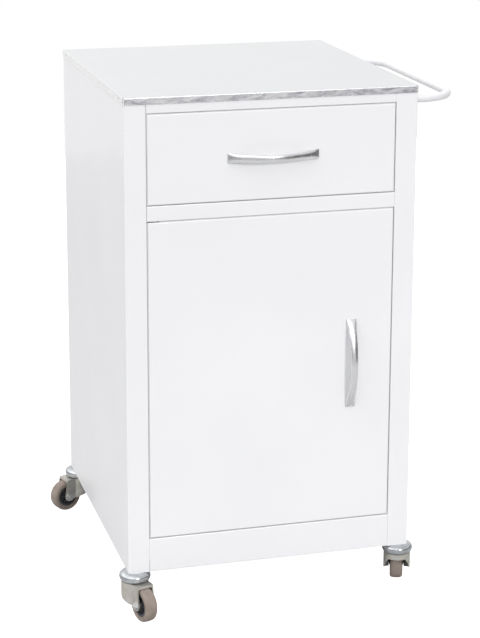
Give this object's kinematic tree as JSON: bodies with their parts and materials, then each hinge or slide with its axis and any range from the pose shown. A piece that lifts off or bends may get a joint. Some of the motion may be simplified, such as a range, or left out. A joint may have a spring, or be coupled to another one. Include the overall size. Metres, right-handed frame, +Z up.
{
  "type": "bedside cabinet",
  "caption": "Steel bedside cabinet on swivel casters, with an inset drawer over an inset door, bow handles, a stainless top and a towel rail on its right side.",
  "frame": {"origin": "on the floor, under the middle of the overall box, which the towel rail and the swivelled wheels widen", "axes": "+Z up; the front, with the drawer and the door, faces -Y; the towel rail is on the +X side"},
  "size_m": [0.5808, 0.559, 0.803],
  "materials": {
    "white_enamel": "gloss powder coat",
    "stainless_top": "fine brushed",
    "satin_chrome": "satin",
    "bright_zinc": "bright zinc plate",
    "zinc_plate": "zinc plate",
    "grey_hub": "moulded",
    "rubber_tyre": "smooth taupe rubber",
    "nylon": "moulded nylon"
  },
  "bodies": {
    "cabinet": {"back_panel": "white_enamel", "bottom_rail": "white_enamel", "caster_gussets": "white_enamel", "caster_nuts": "zinc_plate", "floor_panel": "white_enamel", "front_left_caster_mount": "bright_zinc", "front_right_caster_mount": "bright_zinc", "hinge_pins": "zinc_plate", "left_side_panel": "white_enamel", "left_slide_carrier": "zinc_plate", "left_slide_outer": "zinc_plate", "magnetic_catch": "nylon", "middle_rail": "white_enamel", "rear_left_caster_mount": "bright_zinc", "rear_right_caster_mount": "bright_zinc", "right_side_panel": "white_enamel", "right_slide_carrier": "zinc_plate", "right_slide_outer": "zinc_plate", "shelf": "white_enamel", "shelf_brackets": "white_enamel", "top_rail": "white_enamel", "top_tray": "stainless_top", "towel_rail": "white_enamel", "towel_rail_inserts": "zinc_plate", "towel_rail_screws": "zinc_plate"},
    "slide_middles": {"left_slide_middle": "zinc_plate", "right_slide_middle": "zinc_plate"},
    "drawer": {"left_slide_inner": "zinc_plate", "right_slide_inner": "zinc_plate", "drawer_box": "white_enamel", "drawer_front": "white_enamel", "drawer_handle": "satin_chrome", "drawer_handle_screws": "zinc_plate"},
    "door": {"door_skin": "white_enamel", "door_liner": "white_enamel", "door_handle": "satin_chrome", "door_handle_screws": "zinc_plate", "hinge_bushes": "nylon", "catch_strike": "zinc_plate"},
    "front_left_swivel": {"front_left_caster_fork": "bright_zinc", "front_left_caster_axle": "zinc_plate", "front_left_caster_axle_nut": "zinc_plate"},
    "front_left_wheel": {"front_left_caster_hub": "grey_hub", "front_left_caster_tyre": "rubber_tyre"},
    "front_right_swivel": {"front_right_caster_fork": "bright_zinc", "front_right_caster_axle": "zinc_plate", "front_right_caster_axle_nut": "zinc_plate"},
    "front_right_wheel": {"front_right_caster_hub": "grey_hub", "front_right_caster_tyre": "rubber_tyre"},
    "rear_left_swivel": {"rear_left_caster_fork": "bright_zinc", "rear_left_caster_axle": "zinc_plate", "rear_left_caster_axle_nut": "zinc_plate"},
    "rear_left_wheel": {"rear_left_caster_hub": "grey_hub", "rear_left_caster_tyre": "rubber_tyre"},
    "rear_right_swivel": {"rear_right_caster_fork": "bright_zinc", "rear_right_caster_axle": "zinc_plate", "rear_right_caster_axle_nut": "zinc_plate"},
    "rear_right_wheel": {"rear_right_caster_hub": "grey_hub", "rear_right_caster_tyre": "rubber_tyre"}
  },
  "joints": [
    {"name": "drawer_slide", "type": "slide", "parent": "cabinet", "child": "drawer", "axis": [0, -1, 0], "range_m": [0, 0.36]},
    {"name": "slide_extension", "type": "slide", "parent": "cabinet", "child": "slide_middles", "axis": [0, -1, 0], "range_m": [0, 0.18]},
    {"name": "door_hinge", "type": "hinge", "parent": "cabinet", "child": "door", "pos_m": [-0.20158, -0.23158, 0.124], "axis": [0, 0, -1], "range_deg": [0, 120]},
    {"name": "front_left_swivel_turn", "type": "hinge", "parent": "cabinet", "child": "front_left_swivel", "pos_m": [-0.23628, -0.22558, 0.0566], "axis": [0, 0, 1], "continuous": true},
    {"name": "front_left_wheel_spin", "type": "hinge", "parent": "front_left_swivel", "child": "front_left_wheel", "pos_m": [-0.22795, -0.25283, 0.026], "axis": [0.9563, 0.2924, 0], "continuous": true},
    {"name": "front_right_swivel_turn", "type": "hinge", "parent": "cabinet", "child": "front_right_swivel", "pos_m": [0.18772, -0.22558, 0.0566], "axis": [0, 0, 1], "continuous": true},
    {"name": "front_right_wheel_spin", "type": "hinge", "parent": "front_right_swivel", "child": "front_right_wheel", "pos_m": [0.197, -0.19863, 0.026], "axis": [-0.9455, 0.3256, 0], "continuous": true},
    {"name": "rear_left_swivel_turn", "type": "hinge", "parent": "cabinet", "child": "rear_left_swivel", "pos_m": [-0.23628, 0.22842, 0.0566], "axis": [0, 0, 1], "continuous": true},
    {"name": "rear_left_wheel_spin", "type": "hinge", "parent": "rear_left_swivel", "child": "rear_left_wheel", "pos_m": [-0.26306, 0.21867, 0.026], "axis": [0.342, -0.9397, 0], "continuous": true},
    {"name": "rear_right_swivel_turn", "type": "hinge", "parent": "cabinet", "child": "rear_right_swivel", "pos_m": [0.18772, 0.22842, 0.0566], "axis": [0, 0, 1], "continuous": true},
    {"name": "rear_right_wheel_spin", "type": "hinge", "parent": "rear_right_swivel", "child": "rear_right_wheel", "pos_m": [0.20197, 0.2531, 0.026], "axis": [-0.866, 0.5, 0], "continuous": true}
  ],
  "couplings": [
    {"joint": "slide_extension", "follows": "drawer_slide", "ratio": 0.5}
  ]
}
